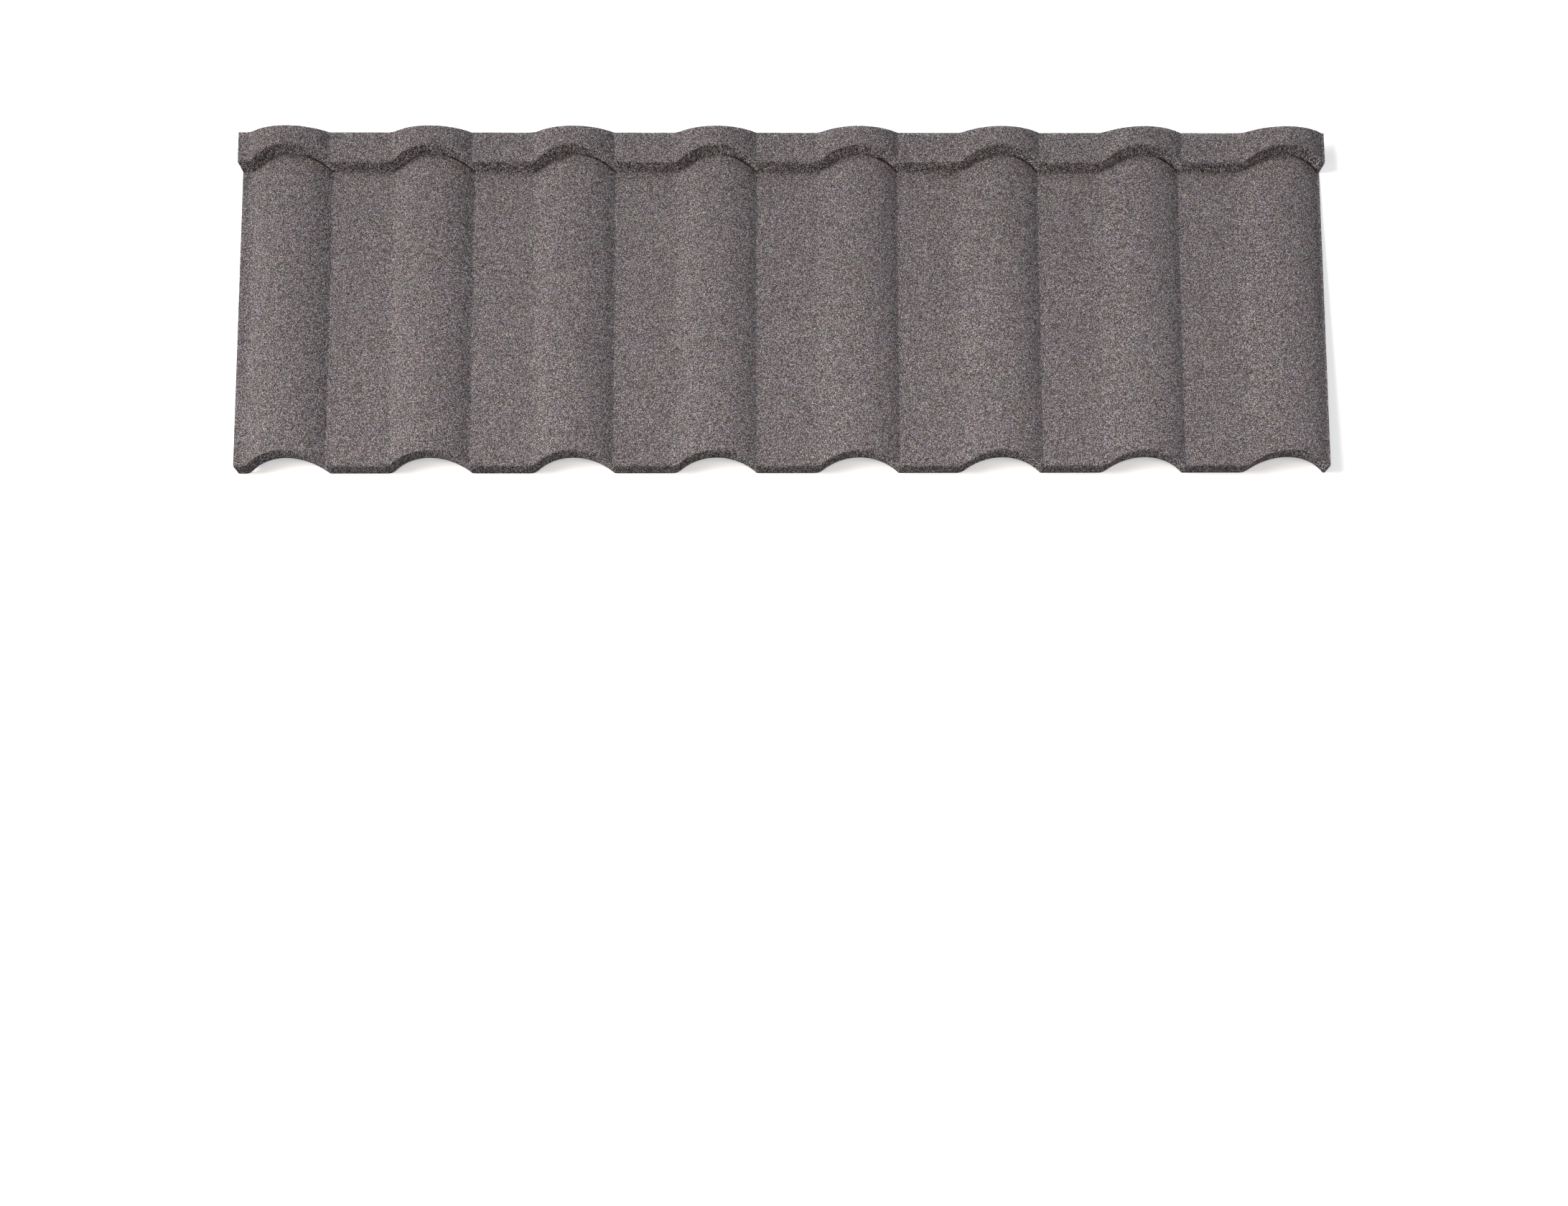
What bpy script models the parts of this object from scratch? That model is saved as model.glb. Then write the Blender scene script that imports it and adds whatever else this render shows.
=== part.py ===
"""Tile-effect metal roofing sheet: one pressed steel sheet with a stone-chip face.

The sheet lies as it would on a level floor: +X runs across the slope of the roof, the turned-down
nose is at -Y, the head strip that lies on the batten is at +Y, and +Z is up. Metres throughout.
The origin is the middle of the sheet's outline, on the floor.
"""

import math

import bmesh
import bpy
from mathutils import Vector

# Across the sheet
BARRELS = 8  # raised barrels, with a flat pan between each two
PITCH = 0.175  # one barrel to the next
BARREL_WIDTH = 0.0975  # chord of a barrel's crown, foot to foot
BARREL_HEIGHT = 0.020  # crest above the pan
LEFT_FILLET = 0.016  # concave radius at a barrel's left foot, the softer one
RIGHT_FILLET = 0.003  # concave radius at its right foot
LEFT_FLANGE = 0.0145  # left edge of the sheet to the first barrel's foot
RIGHT_FLANGE = 0.003  # last barrel's foot to the right edge

# Along the slope
PANEL_LENGTH = 0.371  # nose to the foot of the step, on plan
NOSE_DROP = 0.025  # depth of the turned-down nose
STEP_RISE = 0.0234  # head strip above the foot of the step
HEAD_STRIP = 0.0385  # head strip in a pan, from the step to the cut edge
LEAN = math.radians(13.0)  # nose and step lean this far from upright, so that sheets nest
SET_BACK = 0.0155  # nose and step run this much further back at a crest than in a pan
HEAD_BOW = 0.001  # cut edge of the head runs this much further back at a crest

# The stock
THICKNESS = 0.0016  # steel with its primer and stone-chip coat
BEND_RADIUS = 0.003  # outer radius of the press bends
INNER_RADIUS = BEND_RADIUS - THICKNESS  # on the side that a bend closes up

# Fineness of the facets
CROWN_SEGMENTS = 12
FILLET_SEGMENTS = 3
BEND_SEGMENTS = 2
PAN_SEGMENTS = 2

SHEET_WIDTH = LEFT_FLANGE + (BARRELS - 1) * PITCH + BARREL_WIDTH + RIGHT_FLANGE
SLOPE = math.atan2(NOSE_DROP - THICKNESS, PANEL_LENGTH)  # of the panel, nose end up

COAT_COLOUR = (0.165, 0.145, 0.137, 1.0)
COAT_ROUGHNESS = 0.92


def clear_scene():
    """Removes what the startup file holds."""
    for obj in list(bpy.data.objects):
        bpy.data.objects.remove(obj, do_unlink=True)


def arc(centre, radius, start, end, segments):
    """Points on a circle from angle start to angle end, both included."""
    steps = (start + (end - start) * i / segments for i in range(segments + 1))
    return [
        Vector((centre.x + radius * math.cos(a), centre.y + radius * math.sin(a))) for a in steps
    ]


def barrel_outline():
    """One barrel in section, as (across, height) points from its left foot to its right one.

    A circular crown stands on the pan, with a concave fillet at each foot that is tangent to both.
    """
    crown_radius = (BARREL_WIDTH**2 / 4 + BARREL_HEIGHT**2) / (2 * BARREL_HEIGHT)
    crown_centre = Vector((BARREL_WIDTH / 2, BARREL_HEIGHT - crown_radius))

    def foot(fillet):
        """How far the fillet's centre is from the crown's, and the crown's angle from upright."""
        reach = crown_radius + fillet
        out = math.sqrt(reach**2 - (fillet - crown_centre.y) ** 2)
        return out, math.asin(out / reach)

    left_out, left_angle = foot(LEFT_FILLET)
    right_out, right_angle = foot(RIGHT_FILLET)
    upright = math.pi / 2
    left = arc(
        Vector((crown_centre.x - left_out, LEFT_FILLET)),
        LEFT_FILLET,
        -upright,
        left_angle - upright,
        FILLET_SEGMENTS,
    )
    crown = arc(
        crown_centre, crown_radius, upright + left_angle, upright - right_angle, CROWN_SEGMENTS
    )
    right = arc(
        Vector((crown_centre.x + right_out, RIGHT_FILLET)),
        RIGHT_FILLET,
        -upright - right_angle,
        -upright,
        FILLET_SEGMENTS,
    )
    return left + crown[1:-1] + right


def wave_across():
    """The whole section across the sheet, as (x, height) points, with x = 0 in the middle."""
    outline = barrel_outline()
    left_edge = -SHEET_WIDTH / 2
    points = [Vector((left_edge, 0.0))]
    for barrel in range(BARRELS):
        foot = left_edge + LEFT_FLANGE + barrel * PITCH
        start = Vector((foot, 0.0)) + outline[0]
        gap = start.x - points[-1].x
        if barrel:
            inner = range(1, PAN_SEGMENTS)
            points += [points[-1] + Vector((gap * i / PAN_SEGMENTS, 0.0)) for i in inner]
        points += [Vector((foot, 0.0)) + p for p in outline]
    points.append(Vector((SHEET_WIDTH / 2, 0.0)))
    return points


def rounded(corners, radii, segments):
    """A polyline with an arc of its own radius in place of each inner corner, tangent to both sides."""
    points = [corners[0]]
    for before, corner, after, radius in zip(corners, corners[1:], corners[2:], radii, strict=False):
        back = (before - corner).normalized()
        on = (after - corner).normalized()
        half = back.angle(on) / 2
        centre = corner + (back + on).normalized() * radius / math.sin(half)
        first = corner + back * radius / math.tan(half) - centre
        last = corner + on * radius / math.tan(half) - centre
        sweep = last.angle_signed(first)
        points += [centre + turned(first, sweep * i / segments) for i in range(segments + 1)]
    return points + [corners[-1]]


def turned(vector, angle):
    """A 2D vector turned anticlockwise."""
    c, s = math.cos(angle), math.sin(angle)
    return Vector((c * vector.x - s * vector.y, s * vector.x + c * vector.y))


def side_path():
    """The face of a pan seen from the side, as (y, z) points from the nose's edge to the head's.

    The nose drops to the floor, the panel runs down to the foot of the step, the step rises
    and the head strip runs on parallel to the panel.
    """
    along = Vector((math.cos(SLOPE), -math.sin(SLOPE)))
    leaning = Vector((math.tan(LEAN), 1.0))
    edge_height = THICKNESS * math.sin(LEAN)  # the underside's edge is on the floor
    nose_edge = leaning * edge_height
    nose_top = leaning * NOSE_DROP
    step_foot = nose_top + along * PANEL_LENGTH / math.cos(SLOPE)
    step_top = step_foot + leaning * STEP_RISE
    head_edge = step_top + along * HEAD_STRIP
    corners = [nose_edge, nose_top, step_foot, step_top, head_edge]
    radii = [BEND_RADIUS, INNER_RADIUS, BEND_RADIUS]  # the face is inside only the step foot's bend
    return rounded(corners, radii, BEND_SEGMENTS)


def press(blank):
    """Presses a flat grid into the sheet's face: each of its vertices goes to its formed place.

    A barrel lifts the side path square to the panel and sets it back along the slope, so the
    nose and the step run round every barrel in a scallop. Only the head's cut edge stays
    nearly straight.
    """
    across, path = wave_across(), side_path()
    last_row = len(path) - 1
    lift = Vector((math.sin(SLOPE), math.cos(SLOPE)))
    along = Vector((math.cos(SLOPE), -math.sin(SLOPE)))
    front = path[0].x
    back = path[-1].x + BARREL_HEIGHT * lift.x + HEAD_BOW * along.x
    middle = (front + back) / 2
    for vertex in blank.verts:
        station = across[round(vertex.co.x)]
        row = round(vertex.co.y)
        set_back = HEAD_BOW if row == last_row else SET_BACK
        side = path[row] + lift * station.y + along * set_back * station.y / BARREL_HEIGHT
        vertex.co = Vector((station.x, side.x - middle, side.y))


def flat_blank():
    """A flat grid with a vertex for each station across and each point along the sheet.

    Its vertices stand at whole numbers of columns and rows.
    """
    columns, rows = len(wave_across()) - 1, len(side_path()) - 1
    blank = bmesh.new()
    bmesh.ops.create_grid(blank, x_segments=columns, y_segments=rows, size=0.5)
    for vertex in blank.verts:
        vertex.co.x = (vertex.co.x + 0.5) * columns
        vertex.co.y = (vertex.co.y + 0.5) * rows
    return blank


def coat_material():
    """Stone-chip coat: rough, dark brownish grey."""
    material = bpy.data.materials.new("stone_chip_coat")
    material.use_nodes = True
    shader = material.node_tree.nodes["Principled BSDF"]
    shader.inputs["Base Color"].default_value = COAT_COLOUR
    shader.inputs["Roughness"].default_value = COAT_ROUGHNESS
    shader.inputs["Metallic"].default_value = 0.0
    return material


def roofing_sheet(collection):
    """The pressed sheet, with its thickness below the formed face."""
    face = flat_blank()
    press(face)
    mesh = bpy.data.meshes.new("roofing_sheet")
    face.to_mesh(mesh)
    face.free()
    mesh.materials.append(coat_material())
    mesh.shade_smooth()
    sheet = bpy.data.objects.new("roofing_sheet", mesh)
    collection.objects.link(sheet)
    stock = sheet.modifiers.new("stock_thickness", "SOLIDIFY")
    stock.thickness = THICKNESS
    stock.offset = -1.0
    stock.use_even_offset = True
    return sheet


def main():
    clear_scene()
    collection = bpy.data.collections.new("tile_effect_roofing_sheet")
    bpy.context.scene.collection.children.link(collection)
    roofing_sheet(collection)


main()
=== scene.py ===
import math

import bpy
import numpy as np
from mathutils import Matrix, Vector


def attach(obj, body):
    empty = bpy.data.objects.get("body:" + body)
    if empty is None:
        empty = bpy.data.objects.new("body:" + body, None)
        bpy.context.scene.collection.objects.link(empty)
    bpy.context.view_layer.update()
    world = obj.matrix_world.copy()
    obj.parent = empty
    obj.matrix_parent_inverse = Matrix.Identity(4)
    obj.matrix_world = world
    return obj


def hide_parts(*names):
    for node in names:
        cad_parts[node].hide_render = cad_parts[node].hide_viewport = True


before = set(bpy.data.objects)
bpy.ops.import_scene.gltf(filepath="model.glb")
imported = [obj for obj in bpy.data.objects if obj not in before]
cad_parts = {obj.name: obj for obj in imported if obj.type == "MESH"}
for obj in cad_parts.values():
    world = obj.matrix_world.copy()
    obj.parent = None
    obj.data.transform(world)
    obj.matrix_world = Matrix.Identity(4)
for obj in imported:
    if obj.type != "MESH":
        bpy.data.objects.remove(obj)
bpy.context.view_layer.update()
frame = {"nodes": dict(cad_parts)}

# Looks of a tile-effect roofing sheet: pressed steel under a coat of stone chips. In metres.
print("frame loaded, nodes:", ", ".join(frame["nodes"]))


# Node trees

class Wire:
    # An output socket that sums can be written with. Each sign adds one Math node.
    def __init__(self, graph, socket):
        self.graph = graph
        self.socket = socket

    def maths(self, operation, *values):
        return self.graph.add("ShaderNodeMath", {"operation": operation}, values)

    def __add__(self, other):
        return self.maths("ADD", self, other)

    def __radd__(self, other):
        return self.maths("ADD", other, self)

    def __sub__(self, other):
        return self.maths("SUBTRACT", self, other)

    def __rsub__(self, other):
        return self.maths("SUBTRACT", other, self)

    def __mul__(self, other):
        return self.maths("MULTIPLY", self, other)

    def __rmul__(self, other):
        return self.maths("MULTIPLY", other, self)

    def __truediv__(self, other):
        return self.maths("DIVIDE", self, other)

    def __rtruediv__(self, other):
        return self.maths("DIVIDE", other, self)

    def __mod__(self, other):
        return self.maths("FLOORED_MODULO", self, other)

    def __floordiv__(self, other):
        return self.maths("FLOOR", self / other)

    def __neg__(self):
        return self.maths("MULTIPLY", self, -1.0)

    def rounded(self):
        return self.maths("ROUND", self)

    def size(self):
        return self.maths("ABSOLUTE", self)

    def sine(self):
        return self.maths("SINE", self)

    def cosine(self):
        return self.maths("COSINE", self)

    def atLeast(self, other):
        return self.maths("MAXIMUM", self, other)

    def atMost(self, other):
        return self.maths("MINIMUM", self, other)

    def share(self, low, high):
        # 0 below low, 1 above high, straight in between
        inputs = {"Value": self, "From Min": low, "From Max": high}
        return self.graph.add("ShaderNodeMapRange", {"clamp": True}, inputs)

    def out(self, name):
        # another output of the node that this one comes from
        return Wire(self.graph, self.socket.node.outputs[name])


# Where a new node stands in its tree, so that the tree can be read.
nodeLayout = {"perRow": 24, "width": 190, "height": 220}


class Graph:
    # A node tree that fills from left to right, row by row.
    def __init__(self, tree):
        self.tree = tree
        tree.nodes.clear()

    def add(self, kind, settings=None, inputs=(), output=0):
        node = self.tree.nodes.new(kind)
        row, place = divmod(len(self.tree.nodes), nodeLayout["perRow"])
        node.location = (place * nodeLayout["width"], -row * nodeLayout["height"])
        for name, value in (settings or {}).items():
            if name == "stops":
                self.setStops(node.color_ramp, value)
            else:
                setattr(node, name, value)
        for key, value in inputs.items() if isinstance(inputs, dict) else enumerate(inputs):
            if isinstance(value, Wire):
                self.tree.links.new(value.socket, node.inputs[key])
            else:
                node.inputs[key].default_value = value
        return Wire(self, node.outputs[output]) if node.outputs else None

    def setStops(self, ramp, stops):
        while len(ramp.elements) < len(stops):
            ramp.elements.new(1.0)
        for element, (place, colour) in zip(ramp.elements, stops):
            element.position = place
            element.color = (*colour, 1.0)


# The pressed form

# The same sizes as the part's, so that the face lies on the CAD's.
sheetSizes = {
    "barrels": 8,
    "pitch": 0.175,
    "barrelWidth": 0.0975,
    "barrelHeight": 0.020,
    "leftFoot": 0.016,  # radius of a barrel's soft left foot
    "rightFoot": 0.003,  # and of its sharp right one
    "leftFlange": 0.0145,
    "rightFlange": 0.003,
    "panelLength": 0.371,
    "noseDrop": 0.025,
    "stepRise": 0.0234,
    "headStrip": 0.0385,
    "lean": math.radians(13.0),
    "setBack": 0.0155,
    "headBow": 0.001,
    "bendRadius": 0.003,  # outside of a press bend
    "innerRadius": 0.0014,  # inside of one, at the foot of the step
    "thickness": 0.0016,
}
# From the CAD's face down: room for hollows and chips, the coat, then steel for the rest of the
# thickness. The steel reaches into the coat by the bond.
layers = {"chipRoom": 0.0003, "coat": 0.0008, "bond": 0.00005}
# A pressed sheet is never quite true: shallow hollows and a head edge that wanders. The last size
# is painted shade: how much of the dark line at the foot of the step also darkens the step above
# it.
unevenness = {
    "hollow": 0.00015,
    "hollowSpacing": 0.11,
    "wander": 0.0007,
    "wanderSpacing": 0.07,
    # share of that painted shade line which also darkens the step above it
    "foldShadeOnStep": 0.2,
}
# Grid cells for each stretch of the section and of the side path.
sectionCells = {"pan": 6, "leftFoot": 4, "crown": 22, "rightFoot": 3}
pathCells = {"nose": 6, "bend": 5, "panel": 44, "step": 6, "head": 7}


def footAngle(crownRadius, foot):
    # how far a foot turns before it runs into the crown
    centre = sheetSizes["barrelHeight"] - crownRadius
    reach = crownRadius + foot
    return math.acos((foot - centre) / reach)


def derivedSizes():
    # what follows from the driving sizes: slopes, tangent points and the outline
    s = sheetSizes
    out = {}
    width, height = s["barrelWidth"], s["barrelHeight"]
    out["width"] = s["leftFlange"] + (s["barrels"] - 1) * s["pitch"] + width + s["rightFlange"]
    out["slope"] = math.atan2(s["noseDrop"] - s["thickness"], s["panelLength"])
    out["crownRadius"] = (width**2 / 4 + height**2) / (2 * height)
    out["leftAngle"] = footAngle(out["crownRadius"], s["leftFoot"])
    out["rightAngle"] = footAngle(out["crownRadius"], s["rightFoot"])
    half = width / 2
    out["leftReach"] = (out["crownRadius"] + s["leftFoot"]) * math.sin(out["leftAngle"]) - half
    out["rightReach"] = (out["crownRadius"] + s["rightFoot"]) * math.sin(out["rightAngle"]) - half
    out["edgeHeight"] = s["thickness"] * math.sin(s["lean"])
    out["climb"] = math.pi / 2 - s["lean"]
    bite = math.tan((out["climb"] + out["slope"]) / 2)  # a bend's tangent length over its radius
    outer, inner = bite * s["bendRadius"], bite * s["innerRadius"]
    out["noseStraight"] = (s["noseDrop"] - out["edgeHeight"]) / math.cos(s["lean"]) - outer
    out["panelStraight"] = s["panelLength"] / math.cos(out["slope"]) - outer - inner
    out["stepStraight"] = s["stepRise"] / math.cos(s["lean"]) - inner - outer
    out["headStraight"] = s["headStrip"] - outer
    # depth of the outline on plan, from the nose in a pan to the head at a crest
    lean = math.tan(s["lean"])
    out["front"] = out["edgeHeight"] * lean
    back = (s["noseDrop"] + s["stepRise"]) * lean + s["panelLength"]
    back += (s["headStrip"] + s["headBow"]) * math.cos(out["slope"])
    back += height * math.sin(out["slope"])
    out["middle"] = (out["front"] + back) / 2
    return out


derived = derivedSizes()


def walk(progress, legs):
    # Goes along straight legs and round bends, one after another, and gives how far on, how high
    # and how long that comes. A leg is its cells, length and heading, and a bend its cells, radius,
    # first heading and last heading.
    run = rise = gone = None
    start = 0
    for cells, size, *headings in legs:
        done = progress.share(start, start + cells)
        if len(headings) == 1:
            length = done * size
            runs, rises = length * headings[0].cosine(), length * headings[0].sine()
        else:
            first, last = headings
            heading = first + (last - first) * done
            radius = size * (last - first).maths("SIGN", last - first)
            length = size * (heading - first).size()
            runs = radius * (heading.sine() - first.sine())
            rises = radius * (first.cosine() - heading.cosine())
        run = runs if run is None else run + runs
        rise = rises if rise is None else rise + rises
        gone = length if gone is None else gone + length
        start += cells
    return run, rise, gone


def namedInputs(tree, values):
    # one input on the tree for each size
    for name, value in values.items():
        kind = "NodeSocketInt" if isinstance(value, int) else "NodeSocketFloat"
        tree.interface.new_socket(name, in_out="INPUT", socket_type=kind)


def setInputs(modifier, values):
    # inputs go by the socket's identifier, not by its name
    for item in modifier.node_group.interface.items_tree:
        if item.item_type == "SOCKET" and item.in_out == "INPUT" and item.name in values:
            modifier[item.identifier] = values[item.name]


pressInputs = {**sheetSizes, **derived, **unevenness, "sink": 0.0}


def pressTree():
    # A flat grid goes to the formed face: the section across, lifted and set back along the path.
    tree = bpy.data.node_groups.new("press the sheet", "GeometryNodeTree")
    graph = Graph(tree)
    namedInputs(tree, pressInputs)
    tree.interface.new_socket("material", in_out="INPUT", socket_type="NodeSocketMaterial")
    tree.interface.new_socket("Geometry", in_out="OUTPUT", socket_type="NodeSocketGeometry")
    first = graph.add("NodeGroupInput")
    size = {name: first.out(name) for name in [*pressInputs, "material"]}

    blockCells = sum(sectionCells.values())  # a pan and the barrel after it
    columns = size["barrels"] * blockCells + sectionCells["pan"]
    rows = sum(pathCells.values()) + 2 * pathCells["bend"]  # three bends in all
    grid = graph.add(
        "GeometryNodeMeshGrid",
        None,
        {"Size X": 1.0, "Size Y": 1.0, "Vertices X": columns + 1, "Vertices Y": rows + 1},
    )
    flatPlace = graph.add("ShaderNodeSeparateXYZ", None, [graph.add("GeometryNodeInputPosition")])
    column = ((flatPlace + 0.5) * columns).rounded()
    row = ((flatPlace.out("Y") + 0.5) * rows).rounded()

    # across: a flat stretch, then a barrel, over and over
    block = column // blockCells
    leftEdge = size["width"] * -0.5
    foot = leftEdge + size["leftFlange"] + block * size["pitch"]
    flatStart = leftEdge.atLeast(foot - size["pitch"] + size["barrelWidth"] + size["rightReach"])
    flatEnd = (size["width"] * 0.5).atMost(foot - size["leftReach"])
    level = graph.add("ShaderNodeValue")
    level.socket.default_value = 0.0
    onBlock = column % blockCells
    across, height, _ = walk(
        onBlock,
        [
            (sectionCells["pan"], flatEnd - flatStart, level),
            (sectionCells["leftFoot"], size["leftFoot"], level, size["leftAngle"]),
            (sectionCells["crown"], size["crownRadius"], size["leftAngle"], -size["rightAngle"]),
            (sectionCells["rightFoot"], size["rightFoot"], -size["rightAngle"], level),
        ],
    )
    # along: nose, panel, step and head strip, with a round bend between each two
    down = -size["slope"]
    along, up, gone = walk(
        row,
        [
            (pathCells["nose"], size["noseStraight"], size["climb"]),
            (pathCells["bend"], size["bendRadius"], size["climb"], down),
            (pathCells["panel"], size["panelStraight"], down),
            (pathCells["bend"], size["innerRadius"], down, size["climb"]),
            (pathCells["step"], size["stepStraight"], size["climb"]),
            (pathCells["bend"], size["bendRadius"], size["climb"], down),
            (pathCells["head"], size["headStraight"], down),
        ],
    )
    onHead = row.share(rows - pathCells["head"], rows)
    setBack = size["setBack"] + (size["headBow"] - size["setBack"]) * onHead
    back = setBack * height / size["barrelHeight"]
    slopeCosine, slopeSine = size["slope"].cosine(), size["slope"].sine()
    x = flatStart + across
    y = along + height * slopeSine + back * slopeCosine + size["front"] - size["middle"]
    z = up + height * slopeCosine - back * slopeSine + size["edgeHeight"]
    # the head's cut edge falls short here and there
    spot = {"W": x / size["wanderSpacing"], "Scale": 1.0}
    wander = graph.add("ShaderNodeTexNoise", {"noise_dimensions": "1D"}, spot)
    y = y - wander * size["wander"] * onHead
    # painted shade: a dark line along the tight fold at the foot of the step, down each barrel's
    # right flank, with a share of it on the step above it
    creaseRow = pathCells["nose"] + pathCells["bend"] + pathCells["panel"]
    creaseEnd = creaseRow + pathCells["bend"]
    stepEnd = creaseEnd + pathCells["step"]
    stepShadeShare = size["foldShadeOnStep"]
    foldShadeMask = row.share(creaseRow, creaseRow + 1)
    foldShadeMask = foldShadeMask - row.share(creaseEnd, creaseEnd + 1) * (1 - stepShadeShare)
    foldShadeMask = foldShadeMask - row.share(stepEnd - 1, stepEnd) * stepShadeShare
    crest = sectionCells["pan"] + sectionCells["leftFoot"] + sectionCells["crown"] / 2
    onRight = onBlock.share(crest, crest + sectionCells["crown"] / 4)
    marked = grid  # while it's flat, because the rows are read off the flat grid
    marks = {"gone": gone, "crease": foldShadeMask * onRight}
    for name, value in marks.items():
        marked = graph.add(
            "GeometryNodeStoreNamedAttribute",
            {"data_type": "FLOAT", "domain": "POINT"},
            {"Geometry": marked, "Name": name, "Value": value},
        )
    pressed = graph.add(
        "GeometryNodeSetPosition",
        None,
        {"Geometry": marked, "Position": graph.add("ShaderNodeCombineXYZ", None, [x, y, z])},
    )
    # shallow hollows, and this layer's own depth below the face
    place = graph.add("ShaderNodeSeparateXYZ", None, [graph.add("GeometryNodeInputPosition")])
    spread = [place / size["hollowSpacing"], place.out("Y") / size["hollowSpacing"] / 2, 0.0]
    spots = graph.add("ShaderNodeCombineXYZ", None, spread)
    spots = {"Vector": spots, "Scale": 1.0, "Detail": 1.0}
    hollows = graph.add("ShaderNodeTexNoise", {"noise_dimensions": "2D"}, spots)
    depth = size["sink"] - hollows * size["hollow"]
    inwards = graph.add(
        "ShaderNodeVectorMath",
        {"operation": "SCALE"},
        {"Vector": graph.add("GeometryNodeInputNormal"), "Scale": -depth},
    )
    sunk = graph.add("GeometryNodeSetPosition", None, {"Geometry": pressed, "Offset": inwards})
    smooth = graph.add("GeometryNodeSetShadeSmooth", None, [sunk])
    real = graph.add("GeometryNodeRealizeInstances", None, [smooth])
    coating = {"Geometry": real, "Material": size["material"]}
    coated = graph.add("GeometryNodeSetMaterial", None, coating)
    graph.add("NodeGroupOutput", None, [coated])
    return tree


def pressLayer(name, material, tree, sink, thickness):
    # One layer of the sheet as a closed plain mesh: pressed, then given its thickness downwards.
    layer = bpy.data.objects.new(name, bpy.data.meshes.new(name))
    bpy.context.scene.collection.objects.link(layer)
    press = layer.modifiers.new("press", "NODES")
    press.node_group = tree
    setInputs(press, {**pressInputs, "sink": sink, "material": material})
    wall = layer.modifiers.new("thickness", "SOLIDIFY")
    wall.thickness = thickness
    wall.offset = -1.0
    wall.use_even_offset = True
    evaluated = layer.evaluated_get(bpy.context.evaluated_depsgraph_get())
    mesh = bpy.data.meshes.new_from_object(evaluated)
    layer.modifiers.clear()
    layer.data = mesh
    mesh.name = name
    mesh.materials.clear()
    mesh.materials.append(material)
    return layer


def perFace(values, face):
    # the mean of a value over each face's corners, given back at every corner
    return (np.bincount(face, values) / np.bincount(face))[face]


# How the baked picture is shared out. The border is a share of its width, and the back takes up a
# share of the border.
bakeMap = {"border": 0.012, "backShare": 0.6, "tolerance": 0.01}


def layBakeMap(mesh):
    # This map lays a coat out on a square picture that its finish can be baked into. The formed
    # face fills nearly all of it, cut at mid width into two strips, one above the other. The rim
    # runs round the border, and the hidden back is squeezed in between the strips.
    place = np.empty(len(mesh.vertices) * 3, np.float32)
    mesh.vertices.foreach_get("co", place)
    gone = np.empty(len(mesh.vertices), np.float32)
    mesh.attributes["gone"].data.foreach_get("value", gone)
    vertex = np.empty(len(mesh.loops), np.int32)
    mesh.loops.foreach_get("vertex_index", vertex)
    corners = np.empty(len(mesh.polygons), np.int32)
    mesh.polygons.foreach_get("loop_total", corners)
    face = np.repeat(np.arange(len(corners)), corners)
    across = (place[0::3] / derived["width"] + 0.5)[vertex]
    along = (gone / gone.max())[vertex]
    lower = (vertex >= len(mesh.vertices) // 2) * 1.0  # Solidify adds the back's vertices last
    side = perFace(across, face)
    end = perFace(along, face)
    depth = perFace(lower, face)  # 0 on the face, 1 on the back, between them on the rim

    border = bakeMap["border"]
    backBand = border * bakeMap["backShare"]
    rim = lower * backBand
    inner = 1 - 2 * border
    strip = 0.5 - 1.5 * border
    right = side > 0.5
    u = border + inner * (2 * across - right)
    v = border + along * strip + right * (strip + border)
    onBack = depth > 1 - bakeMap["tolerance"]
    u[onBack] = across[onBack]
    v[onBack] = 0.5 + (along[onBack] - 0.5) * backBand
    onRim = (depth > bakeMap["tolerance"]) & ~onBack
    atEnd = np.minimum(end, 1 - end) < np.minimum(side, 1 - side)  # nose or head, not a flank
    nearLow = np.where(atEnd, end, side) < 0.5
    long = border + inner * np.where(atEnd, across, along)
    short = np.where(nearLow, rim, 1 - rim)
    u[onRim] = np.where(atEnd, long, short)[onRim]
    v[onRim] = np.where(atEnd, short, long)[onRim]
    places = np.stack([u, v], 1).astype(np.float32).ravel()
    mesh.uv_layers.new(name="OFBake").uv.foreach_set("vector", places)
    mesh.attributes.remove(mesh.attributes["gone"])


# Finishes

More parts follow.
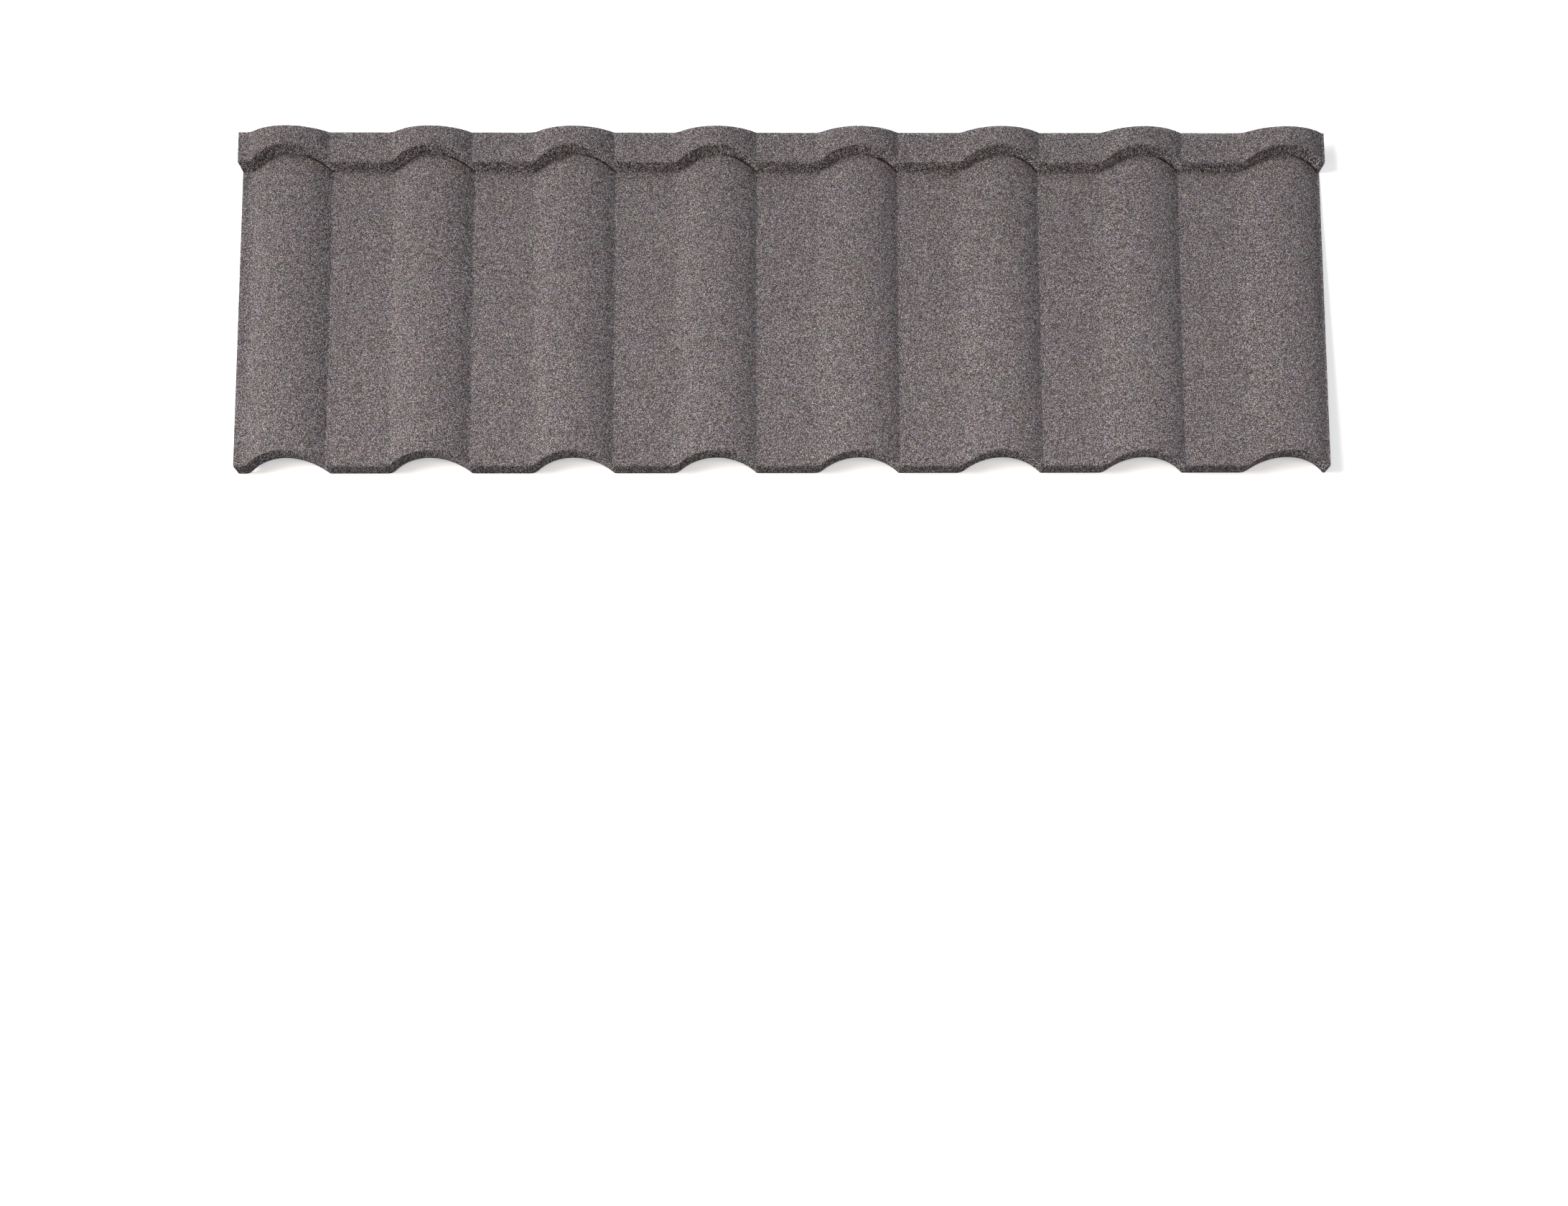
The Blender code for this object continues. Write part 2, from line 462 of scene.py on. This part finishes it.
chipCoat = {
    "chipSize": 0.00068,
    "fineSize": 0.0006,  # dust and small grains between the chips
    "tallness": 0.35,  # below 1, the chips are drawn taller on a steep face
    "dark": (0.0205, 0.0172, 0.0178),
    "brown": (0.0825, 0.0685, 0.0705),
    "grey": (0.1640, 0.1485, 0.1560),
    "pale": (0.3035, 0.2850, 0.2995),
    "cream": (0.7400, 0.7080, 0.7310),
    "mix": {"dark": 0.0, "brown": 0.25, "grey": 0.5, "pale": 0.78, "cream": 1.0},
    "binder": (0.045, 0.040, 0.039),  # what holds the chips, seen between them
    "gap": (0.35, 0.75),  # chips from a chip's middle to where binder starts and is full
    "gapDarkness": 0.55,
    "foldShadeDepth": 0.5,  # painted shade of the dark line along the fold at the foot of the step, at the least
    "steep": (0.3, 0.7),  # how far off level a face starts to count as steep, and is fully so
    "steepPaintedSparkle": 0.6,  # painted highlights and shade: how far the chips' tones spread on the nose and the step
    "steepPaintedShade": 0.08,  # painted shade: how much darker the nose and the step are painted
    "patchSize": 0.015,  # where the mix of chips drifts, greenish to pinkish
    "pinkish": (1.026, 0.989, 1.0),
    "greenish": (0.974, 1.009, 1.0),
    "hueSize": 0.011,  # and yellowish to bluish
    "bluish": (0.995, 0.995, 1.04),
    "yellowish": (1.005, 1.005, 0.96),
    "driftSize": 0.16,
    "drift": 0.05,
    "paintedHeadShade": 0.30,  # painted shade: the coat is painted darker towards the head, by this share for each metre
    "roughness": 0.9,
    "diffuseRoughness": 1.0,
    "specular": 0.08,
    "bump": 0.0005,
    "unevenChips": 0.4,  # share of a chip's height that differs from chip to chip
    "fineHeight": 0.25,  # of the grains, against the chips
}
backCoat = {
    "primer": (0.235, 0.245, 0.240),
    "primerThin": (0.300, 0.310, 0.305),
    "patchSize": 0.06,
    "patches": (0.3, 0.7),  # noise values where the primer is thick and where it's thin
    "orangePeel": 0.004,
    "roughness": 0.42,
    "roughnessSpread": 0.12,
    "bump": 0.00002,
}
patchEdges = (0.35, 0.65)  # noise values where one tint ends and the other is full


def newMaterial(name):
    material = bpy.data.materials.new(name)
    material.use_nodes = True
    graph = Graph(material.node_tree)
    shader = graph.add("ShaderNodeBsdfPrincipled")
    graph.add("ShaderNodeOutputMaterial", None, {"Surface": shader})
    return material, graph, shader.socket.node


def link(wire, shader, name):
    wire.graph.tree.links.new(wire.socket, shader.inputs[name])


def mixed(graph, share, first, second, blend="MIX"):
    # a colour mix takes its colours at sockets 6 and 7, and gives the result at 2
    values = [value if isinstance(value, Wire) else (*value, 1.0) for value in (first, second)]
    settings = {"data_type": "RGBA", "blend_type": blend}
    return graph.add("ShaderNodeMix", settings, {0: share, 6: values[0], 7: values[1]}, 2)


def noise(graph, place, size, detail=2.0):
    inputs = {"Vector": place, "Scale": 1 / size, "Detail": detail}
    return graph.add("ShaderNodeTexNoise", None, inputs)


def voronoi(graph, place, size):
    return graph.add("ShaderNodeTexVoronoi", None, {"Vector": place, "Scale": 1 / size})


def bumped(graph, height, distance):
    inputs = {"Strength": 1.0, "Distance": distance, "Height": height}
    return graph.add("ShaderNodeBump", None, inputs)


def evenGrey(graph, value):
    # a colour out of one value, to multiply other colours by
    return graph.add("ShaderNodeCombineColor", None, [value, value, value])


def chipCoatMaterial():
    material, graph, shader = newMaterial("stone chip coat")
    c = chipCoat
    place = graph.add("ShaderNodeTexCoord").out("Object")
    stretch = [place, (1.0, 1.0, c["tallness"])]
    grain = graph.add("ShaderNodeVectorMath", {"operation": "MULTIPLY"}, stretch)
    chips = voronoi(graph, grain, c["chipSize"])
    fines = voronoi(graph, grain, c["fineSize"])
    chance = graph.add("ShaderNodeSeparateXYZ", None, [chips.out("Color")])
    stops = [(stop, c[tone]) for tone, stop in c["mix"].items()]
    colour = graph.add("ShaderNodeValToRGB", {"stops": stops}, [chance])
    colour = mixed(graph, chips.share(*c["gap"]) * c["gapDarkness"], colour, c["binder"])
    # painted highlights and shade on the nose and the step, then painted shade along the step's
    # foot
    facing = graph.add("ShaderNodeNewGeometry").out("Normal")
    upright = graph.add("ShaderNodeSeparateXYZ", None, [facing]).out("Z")
    steepness = (1 - upright.size()).share(*c["steep"])
    # painted light: chip tones spread as painted highlights and shade on steep faces, and painted
    # darker
    steepLightAndShade = 1 + steepness * ((chance - 0.5) * (2 * c["steepPaintedSparkle"]) - c["steepPaintedShade"])
    colour = mixed(graph, 1.0, colour, evenGrey(graph, steepLightAndShade), "MULTIPLY")
    # painted shade: a dark line along the fold at the foot of the step, down the right flanks
    crease = graph.add("ShaderNodeAttribute", {"attribute_name": "crease"}).out("Fac")
    foldShadeShare = (crease * (c["foldShadeDepth"] + chance.out("Y"))).atMost(1.0)
    colour = mixed(graph, foldShadeShare, colour, c["dark"])
    # the mix of chips drifts from patch to patch
    drifts = {"patchSize": ("greenish", "pinkish"), "hueSize": ("yellowish", "bluish")}
    for size, (first, second) in drifts.items():
        patch = noise(graph, place, c[size]).share(*patchEdges)
        tint = mixed(graph, patch, c[first], c[second])
        colour = mixed(graph, 1.0, colour, tint, "MULTIPLY")
    along = graph.add("ShaderNodeSeparateXYZ", None, [place]).out("Y")
    drift = 1 + (noise(graph, place, c["driftSize"]) - 0.5) * (2 * c["drift"])
    # painted shade: darker towards the head, where the light falls off
    drift = drift - along * c["paintedHeadShade"]
    colour = mixed(graph, 1.0, colour, evenGrey(graph, drift), "MULTIPLY")
    link(colour, shader, "Base Color")
    # each chip stands at its own height
    tall = (1 - c["unevenChips"]) + c["unevenChips"] * chance.out("Y")
    height = (1 - chips) * tall + (1 - fines) * c["fineHeight"]
    link(bumped(graph, height, c["bump"]), shader, "Normal")
    shader.inputs["Roughness"].default_value = c["roughness"]
    shader.inputs["Diffuse Roughness"].default_value = c["diffuseRoughness"]
    shader.inputs["Specular IOR Level"].default_value = c["specular"]
    return material


def backCoatMaterial():
    # a thin primer rolled on the back of the steel, a little uneven
    material, graph, shader = newMaterial("back primer")
    c = backCoat
    place = graph.add("ShaderNodeTexCoord").out("Object")
    patch = noise(graph, place, c["patchSize"], 4.0).share(*c["patches"])
    link(mixed(graph, patch, c["primer"], c["primerThin"]), shader, "Base Color")
    link(c["roughness"] + (patch - 0.5) * c["roughnessSpread"], shader, "Roughness")
    peel = noise(graph, place, c["orangePeel"])
    link(bumped(graph, peel, c["bump"]), shader, "Normal")
    return material


# Studio

studio = {
    "cameraHeight": 2.14,
    "cameraPlace": (-0.0219, -0.4895),
    "aim": (0.00025, -0.3717),
    "roll": 0.0024,
    "lens": 40.03,
    "sensor": 36.0,
    "floorSize": 9.0,
    "floorColour": (0.86, 0.86, 0.86),
    "floorBounce": (0.08, 0.08, 0.08),  # what the floor throws back at the sheet
    "floorGlow": 0.4,
    "farFrom": 1.2,  # the floor's glow rises from here
    "farTo": 3.2,  # to plain white here, so that no horizon shows
    "skyLight": 0.18,
    "sky": (0.97, 1.0, 1.03),
}
# Soft lamps, all turned to the sheet's middle: place, size, power and colour.
lamps = {
    "key, high on the left": ((-4.15, 1.19, 4.17), (2.1, 2.1), 408.0, (1.05, 0.985, 0.945)),
    "fill from the back right": ((2.9, 2.5, 2.8), (2.0, 2.0), 48.0, (0.86, 1.0, 1.12)),
    "strip over the nose": ((0.0, -0.21, 0.7), (2.0, 0.25), 2.2, (1.09, 0.95, 0.85)),
}


def addCamera():
    data = bpy.data.cameras.new("photo camera")
    data.lens = studio["lens"]
    data.sensor_width = studio["sensor"]
    camera = bpy.data.objects.new("photo camera", data)
    camera.location = (*studio["cameraPlace"], studio["cameraHeight"])
    ahead = (Vector((*studio["aim"], 0.0)) - camera.location).normalized()
    upwards = Vector((math.sin(studio["roll"]), math.cos(studio["roll"]), 0.0))
    right = ahead.cross(upwards).normalized()
    camera.rotation_euler = Matrix((right, right.cross(ahead), -ahead)).transposed().to_euler()
    bpy.context.scene.collection.objects.link(camera)
    bpy.context.scene.camera = camera


def addLamp(name, place, size, power, colour):
    data = bpy.data.lights.new(name, "AREA")
    data.shape = "RECTANGLE"
    data.size, data.size_y = size
    data.energy = power
    data.color = colour
    lamp = bpy.data.objects.new(name, data)
    lamp.location = place
    lamp.rotation_euler = (-lamp.location).to_track_quat("-Z", "Y").to_euler()
    lamp.visible_camera = False
    bpy.context.scene.collection.objects.link(lamp)


def cameraSees(graph):
    # 1 for rays from the camera and for what a gloss mirrors
    path = graph.add("ShaderNodeLightPath")
    return path.atLeast(path.out("Is Glossy Ray")).atLeast(path.out("Is Transmission Ray"))


def addWorld():
    world = bpy.data.worlds.new("studio")
    world.use_nodes = True
    bpy.context.scene.world = world
    graph = Graph(world.node_tree)
    seen = cameraSees(graph)
    colour = mixed(graph, seen, studio["sky"], (1.0, 1.0, 1.0))
    strength = seen + (1 - seen) * studio["skyLight"]
    light = graph.add("ShaderNodeBackground", None, {"Color": colour, "Strength": strength})
    graph.add("ShaderNodeOutputWorld", None, {"Surface": light})


def addFloor():
    half = studio["floorSize"] / 2
    mesh = bpy.data.meshes.new("studio floor")
    corners = [(-half, -half, 0.0), (half, -half, 0.0), (half, half, 0.0), (-half, half, 0.0)]
    mesh.from_pydata(corners, [], [(0, 1, 2, 3)])
    floor = bpy.data.objects.new("studio floor", mesh)
    bpy.context.scene.collection.objects.link(floor)
    material = bpy.data.materials.new("studio floor")
    material.use_nodes = True
    graph = Graph(material.node_tree)
    seen = cameraSees(graph)
    colour = mixed(graph, seen, studio["floorBounce"], studio["floorColour"])
    matt = graph.add("ShaderNodeBsdfDiffuse", None, [colour])
    place = graph.add("ShaderNodeTexCoord").out("Object")
    distance = graph.add("ShaderNodeVectorMath", {"operation": "LENGTH"}, [place]).out("Value")
    far = distance.share(studio["farFrom"], studio["farTo"])
    strength = seen * (studio["floorGlow"] + far * (1 - studio["floorGlow"]))
    glow = graph.add("ShaderNodeEmission", None, {"Strength": strength})
    both = graph.add("ShaderNodeAddShader", None, [matt, glow])
    graph.add("ShaderNodeOutputMaterial", None, {"Surface": both})
    mesh.materials.append(material)


# Build

addCamera()
addWorld()
addFloor()
for lampName, lampValues in lamps.items():
    addLamp(lampName, *lampValues)
bpy.context.scene.view_settings.view_transform = "Standard"
print("studio set")

form = pressTree()
coatTop = layers["chipRoom"]
steelTop = coatTop + layers["coat"] - layers["bond"]
steelThickness = sheetSizes["thickness"] - steelTop
coat = pressLayer("stone_chip_coat", chipCoatMaterial(), form, coatTop, layers["coat"])
layBakeMap(coat.data)
steel = pressLayer("steel_sheet", backCoatMaterial(), form, steelTop, steelThickness)
for piece in (coat, steel):
    print("pressed:", piece.name, len(piece.data.polygons), "faces")
    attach(piece, "root")
    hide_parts("roofing_sheet")
